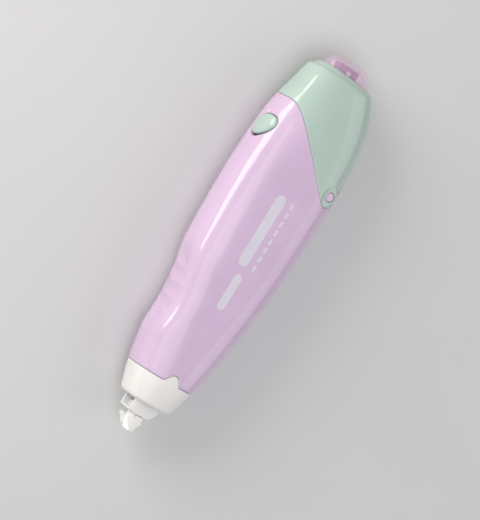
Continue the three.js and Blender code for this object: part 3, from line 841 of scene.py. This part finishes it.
def paper(name, rgb, rough):
    """Thin coated strip with fine grain along its length."""
    n = Nodes(name)
    base = linear(rgb)
    grain = n.span(n.noise(1500, 4.0, (0.08, 1, 1)), 0.3, 0.7, 0.0, 1.0)
    n.link(n.mix(grain, shade(base, 0.95), shade(base, 1.02)), n.shader.inputs["Base Color"])
    n.link(n.span(grain, 0.0, 1.0, rough - 0.06, rough + 0.08), n.shader.inputs["Roughness"])
    n.bump(n.noise(2600, 3.0), 0.00001)
    return n.material


def wire(name):
    """Drawn spring wire, with fine marks round it."""
    n = Nodes(name)
    grain = n.span(n.noise(2400, 4.0), 0.3, 0.7, 0.0, 1.0)
    n.link(n.mix(grain, linear((186, 190, 193)), linear((222, 225, 227))), n.shader.inputs["Base Color"])
    n.link(n.span(grain, 0.0, 1.0, 0.22, 0.4), n.shader.inputs["Roughness"])
    n.bump(grain, 0.000004)
    n.set(Metallic=1.0)
    return n.material


def felt(name):
    """Short grey felt."""
    n = Nodes(name)
    fibre = n.span(n.noise(5200, 6.0, (1, 0.4, 1)), 0.25, 0.75, 0.0, 1.0)
    n.link(n.mix(fibre, linear((104, 108, 112)), linear((150, 154, 158))), n.shader.inputs["Base Color"])
    n.link(n.span(fibre, 0.0, 1.0, 0.85, 1.0), n.shader.inputs["Roughness"])
    n.bump(fibre, 0.00005)
    n.set(Sheen_Weight=0.4)
    return n.material


FINISHES = {
    "lilac_plastic": lambda name: moulded(name, (209, 184, 213), 0.11),
    "mint_plastic": lambda name: moulded(name, (177, 197, 189), 0.13),
    "white_plastic": lambda name: moulded(name, (228, 227, 226), 0.34, wear=0.1, softness=0.15),
    "blade_plastic": lambda name: moulded(name, (230, 229, 227), 0.3, wear=0.1, softness=0.15),
    "pink_clear_plastic": clear_pink,
    "magenta_plastic": lambda name: moulded(name, (108, 4, 106), 0.2, wear=0.5),
    "natural_plastic": lambda name: moulded(name, (228, 226, 220), 0.36, wear=0.1, softness=0.25),
    "gear_plastic": lambda name: moulded(name, (206, 214, 217), 0.32, wear=0.15, softness=0.15),
    "tape_coating": lambda name: paper(name, (250, 250, 250), 0.6),
    "carrier_film": lambda name: paper(name, (217, 201, 168), 0.35),
    "spring_steel": wire,
    "clutch_felt": felt,
}
materials = {name: make(name) for name, make in FINISHES.items()}
ink = moulded("print_ink", (212, 208, 222), 0.3, wear=0.0, softness=0.0)


def finish_piece(piece, body, slot_name, *nodes, finish=None):
    """Gives a new piece its material, its body and the CAD nodes it stands for."""
    piece.data.materials.clear()
    piece.data.materials.append(finish or materials[slot_name])
    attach(piece, body)
    if nodes:
        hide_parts(*nodes)


# ---------- the pieces ----------
def window_cutter():
    """The button's window, opening outwards into a rounded lip."""
    outline = closed_curve(BUTTON_OUTLINE, OUTLINE_STEPS)
    rows = [[(x, WINDOW_FROM, z) for x, z in grown_outline(outline, BUTTON_CENTRE, 0.3)]]
    for grow, rise in WINDOW_LIP:
        rows.append([(x, height_at(x, z, -rise), z) for x, z in grown_outline(outline, BUTTON_CENTRE, grow)])
    rows.append([(x, WINDOW_TO, z) for x, z in grown_outline(outline, BUTTON_CENTRE, 1.2)])
    return ring_stack("button_window", rows)


upper = casing_shell("upper_shell_skin", 0.0, math.pi)
lower = casing_shell("lower_shell_skin", math.pi, 2 * math.pi)
for shell in (upper, lower):
    cut(shell, window_cutter())
    shell.data.shade_smooth()
    shell.data.set_sharp_from_angle(angle=math.radians(40))
finish_piece(upper, "casing", "lilac_plastic", "upper_shell")
finish_piece(lower, "casing", "lilac_plastic", "lower_shell")
for side, label in ((1, "near"), (-1, "far")):
    finish_piece(make_boss(f"pivot_boss_{label}", side), "casing", "lilac_plastic")

finish_piece(make_nose(), "casing", "white_plastic", "nose_cap")
finish_piece(make_cap(), "cap", "mint_plastic", "rear_cap")
finish_piece(make_button(), "latch", "mint_plastic", "latch_button")
finish_piece(make_knock(), "knock", "pink_clear_plastic", "knock_button")
finish_piece(make_plunger(), "knock", "magenta_plastic", "knock_plunger")
finish_piece(make_holder(), "carriage", "white_plastic", "head_holder")
finish_piece(make_blade(), "carriage", "blade_plastic", "applicator_blade")
feed_route = [(-64.9, 1.2), (-61.4, 2.28), (-55, 2.35), (-31, 4.4), (11.4, 12)]
return_route = [(-64.9, 0.5), (-61.4, -0.33), (-59.6, -0.5), (-55, -0.5), (-31, -3.6), (-13.8, -7.4)]
finish_piece(ribbon("feed_tape_strip", feed_route, 2.4, 0.16), "carriage", "tape_coating", "feed_tape")
finish_piece(ribbon("return_tape_strip", return_route, 2.4, 0.12), "carriage", "carrier_film", "return_tape")
for mark in make_print():
    finish_piece(mark, "casing", "white_plastic", finish=ink)

slots = {row["node"]: row["material_slot"] for row in frame["record"]["subparts"]}
for name, node in frame["nodes"].items():
    if not node.hide_render:
        for holder in node.material_slots:
            holder.material = materials[slots[name]]


# ---------- floor, lights, camera ----------
def make_floor():
    work = bmesh.new()
    bmesh.ops.create_grid(work, x_segments=2, y_segments=2, size=3.0)
    mesh = bpy.data.meshes.new("floor")
    work.to_mesh(mesh)
    work.free()
    floor = bpy.data.objects.new("floor", mesh)
    bpy.context.scene.collection.objects.link(floor)
    n = Nodes("floor_paper")
    tint = n.mix(n.noise(14, 3.0), linear((206, 206, 208)), linear((211, 211, 213)))
    n.link(tint, n.shader.inputs["Base Color"])
    n.set(Roughness=0.85)
    mesh.materials.append(n.material)


def softbox(name, place, target, width, height, power, shape="RECTANGLE", colour=(1.0, 1.0, 1.0)):
    light = bpy.data.lights.new(name, "AREA")
    light.shape = shape
    light.size, light.size_y = width, height
    light.energy = power
    light.color = colour
    lamp = bpy.data.objects.new(name, light)
    lamp.location = place
    lamp.rotation_euler = (Vector(target) - Vector(place)).to_track_quat("-Z", "Y").to_euler()
    bpy.context.scene.collection.objects.link(lamp)


make_floor()
softbox("finger_side_box", (0.135, 0.49, 0.19), (0.02, 0.01, 0.01), 0.42, 0.3, 2.4,
        "ELLIPSE", (1.0, 0.965, 0.9))
softbox("overhead_box", (-0.25, 0.15, 0.9), (0, 0, 0), 0.9, 0.7, 3.2)
softbox("belly_fill", (0.1, -0.7, 0.5), (0, 0, 0), 0.8, 0.5, 1.7)

world = bpy.data.worlds.new("studio")
world.use_nodes = True
world.node_tree.nodes["Background"].inputs["Color"].default_value = (1.0, 0.99, 0.985, 1.0)
world.node_tree.nodes["Background"].inputs["Strength"].default_value = 0.36
bpy.context.scene.world = world
bpy.context.scene.view_settings.view_transform = "Standard"

LENS, LONG_SIDE, VIEW_HEIGHT = 200.0, 36.0, 0.1567
TILT, TURN = math.radians(30), math.radians(58.5)
AIM_RIGHT, AIM_UP, AIM_ALONG = 0.000573, 0.00395, 0.00036      # how far the aim is off the middle
back = Vector((0, math.sin(TILT), math.cos(TILT)))
across, along = Vector((1, 0, 0)), Vector((0, math.cos(TILT), -math.sin(TILT)))
right = across * math.cos(TURN) - along * math.sin(TURN)
up = across * math.sin(TURN) + along * math.cos(TURN)
aim = Vector((0, 0, MID * MM)) - right * AIM_RIGHT - up * AIM_UP - along * AIM_ALONG
camera_data = bpy.data.cameras.new("camera")
camera_data.lens, camera_data.sensor_width = LENS, LONG_SIDE
camera_data.clip_start, camera_data.clip_end = 0.01, 20.0
camera = bpy.data.objects.new("camera", camera_data)
camera.matrix_world = Matrix.Translation(aim + back * (VIEW_HEIGHT * LENS / LONG_SIDE)) @ \
    Matrix((right, up, back)).transposed().to_4x4()
bpy.context.scene.collection.objects.link(camera)
bpy.context.scene.camera = camera
